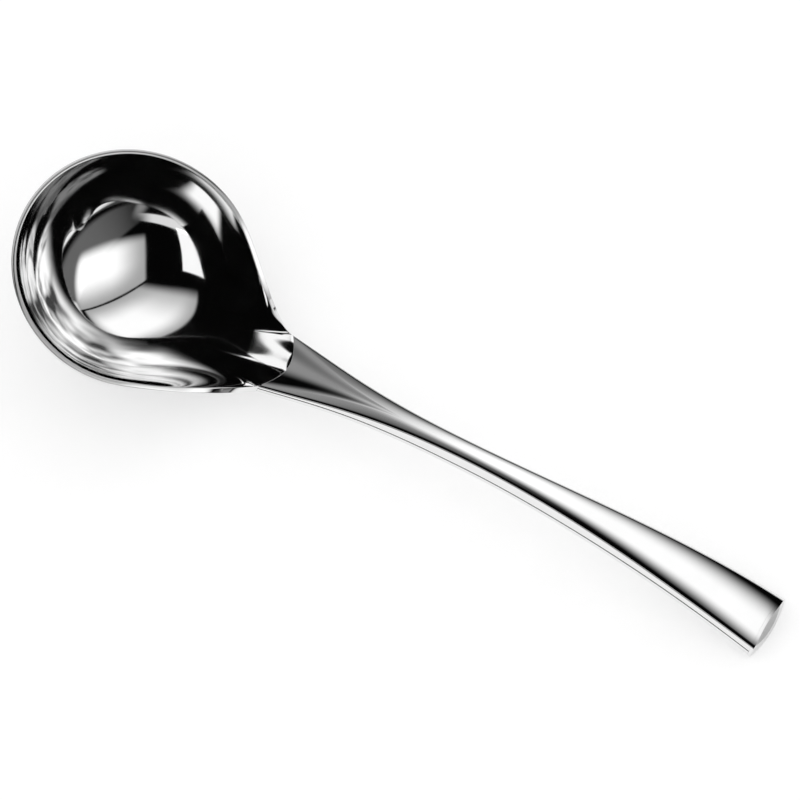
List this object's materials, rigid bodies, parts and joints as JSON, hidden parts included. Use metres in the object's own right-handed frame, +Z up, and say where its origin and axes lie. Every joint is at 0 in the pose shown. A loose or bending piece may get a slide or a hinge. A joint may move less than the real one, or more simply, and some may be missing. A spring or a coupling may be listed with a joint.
{
  "type": "soup ladle",
  "caption": "Polished stainless steel soup ladle with a deep round bowl, a pear-shaped heel and an arched hollow handle, for lifting and pouring soup.",
  "frame": {"origin": "point of the table under the bowl, where the ladle rests on it", "axes": "+X along the handle, away from the bowl; +Y across the handle; +Z up from the table"},
  "size_m": [0.3055, 0.09, 0.0566],
  "materials": {
    "bowl_steel": "mirror polished",
    "handle_steel": "mirror polished",
    "tang_steel": "mill",
    "filler": "matt"
  },
  "bodies": {
    "root": {"bowl": "bowl_steel", "tang": "tang_steel", "handle_upper_shell": "handle_steel", "handle_lower_shell": "handle_steel", "handle_end_cap": "handle_steel", "handle_filling": "filler"}
  },
  "joints": []
}
